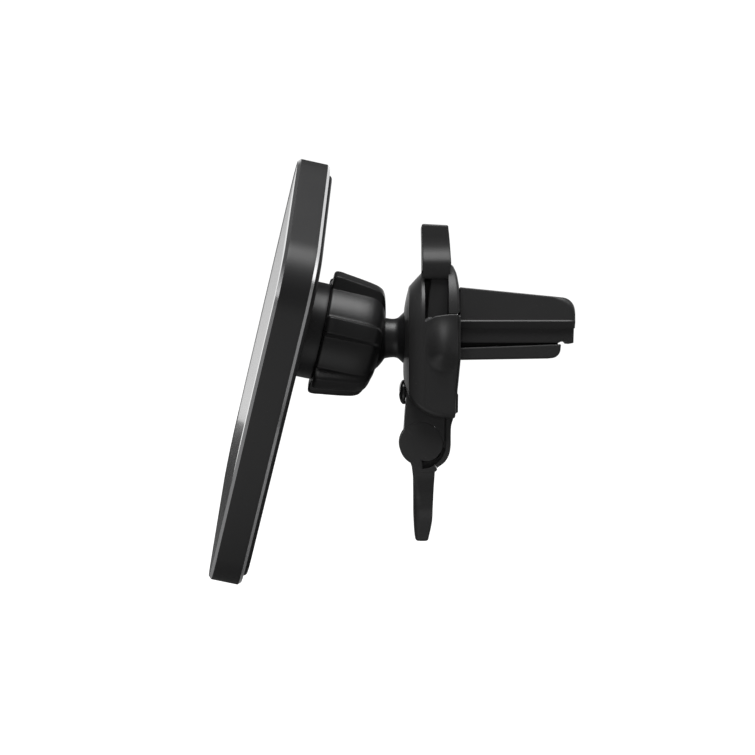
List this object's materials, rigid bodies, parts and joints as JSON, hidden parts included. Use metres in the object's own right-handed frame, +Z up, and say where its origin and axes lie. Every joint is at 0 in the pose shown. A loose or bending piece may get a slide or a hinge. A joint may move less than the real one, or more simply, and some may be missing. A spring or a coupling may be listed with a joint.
{
  "type": "car phone mount",
  "caption": "Magnetic phone pad on a ball joint with a ribbed clamping knob, carried by a sprung vent clip with ribbed jaws and a folding support leg.",
  "frame": {"origin": "mouth of the vent jaws, in the middle of the clip's rear face", "axes": "+Y is the way the jaws point, into the vent, and -Y is towards the phone; +Z is up; +X completes the frame and lies to the right for a viewer who faces the vent"},
  "size_m": [0.0971, 0.0919, 0.1075],
  "materials": {
    "panel_gloss": "gloss black, smooth",
    "adhesive": "matte foam tape",
    "anodised_frame": "black anodised, bright cut chamfers",
    "inner_plastic": "matte",
    "magnet_nickel": "nickel plated",
    "steel": "plain steel",
    "satin_plastic": "fine satin grain",
    "liner": "smooth low-friction plastic",
    "knob_plastic": "satin",
    "stud_plastic": "satin",
    "gloss_cover": "semi-gloss",
    "screw_black": "black, semi-gloss",
    "clip_plastic": "satin, fine grain",
    "rubber_pad": "matte black"
  },
  "bodies": {
    "clip": {"ball_stud": "stud_plastic", "stud_retainer": "steel", "retainer_screws": "steel", "clip_cover": "gloss_cover", "cover_screw": "screw_black", "clip_body": "gloss_cover", "lower_jaw": "clip_plastic", "jaw_screws": "steel", "lower_jaw_pad": "rubber_pad", "rear_bumper": "rubber_pad", "lever_pin": "steel", "torsion_spring": "steel", "leg_pin": "steel", "leg_spring_plunger": "steel"},
    "lever": {"jaw_lever": "clip_plastic", "upper_jaw_pad": "rubber_pad"},
    "leg": {"support_leg": "clip_plastic"},
    "swivel_seat": {"ball_seat": "liner"},
    "tilt_ring": {"ball_ring": "liner"},
    "pad": {"front_panel": "panel_gloss", "panel_adhesive": "adhesive", "pad_frame": "anodised_frame", "magnet_carrier": "inner_plastic", "arc_magnets": "magnet_nickel", "alignment_magnet": "magnet_nickel", "steel_ring": "steel", "back_plate": "satin_plastic", "carrier_screws": "steel", "socket": "satin_plastic", "socket_screws": "steel"},
    "washer": {"thrust_washer": "liner"},
    "knob": {"knob": "knob_plastic"}
  },
  "joints": [
    {"name": "jaw_squeeze", "type": "hinge", "parent": "clip", "child": "lever", "pos_m": [0, -0.0074, 0.0048], "axis": [1, 0, 0], "range_deg": [0, 6], "stiffness_Nm_per_rad": 0.6, "springref_deg": -20.05},
    {"name": "leg_fold", "type": "hinge", "parent": "clip", "child": "leg", "pos_m": [0, -0.00965, -0.0245], "axis": [-1, 0, 0], "range_deg": [0, 90]},
    {"name": "ball_swivel", "type": "hinge", "parent": "clip", "child": "swivel_seat", "pos_m": [0, -0.02725, 0.00175], "axis": [0, 0, 1], "range_deg": [-14.73, 5.27]},
    {"name": "ball_tilt", "type": "hinge", "parent": "swivel_seat", "child": "tilt_ring", "pos_m": [0, -0.02725, 0.00175], "axis": [-0.9966, -0.0825, 0], "range_deg": [-25.5, 1.5]},
    {"name": "pad_roll", "type": "hinge", "parent": "tilt_ring", "child": "pad", "pos_m": [0, -0.02725, 0.00175], "axis": [-0.0807, 0.9748, -0.2079], "continuous": true},
    {"name": "knob_advance", "type": "slide", "parent": "pad", "child": "washer", "axis": [-0.0807, 0.9748, -0.2079], "range_m": [0, 0.00075]},
    {"name": "knob_turn", "type": "hinge", "parent": "washer", "child": "knob", "pos_m": [0, -0.02725, 0.00175], "axis": [-0.0807, 0.9748, -0.2079], "range_deg": [0, 135]}
  ],
  "couplings": [
    {"joint": "knob_advance", "follows": "knob_turn", "m_per_rad": 0.00031831}
  ]
}
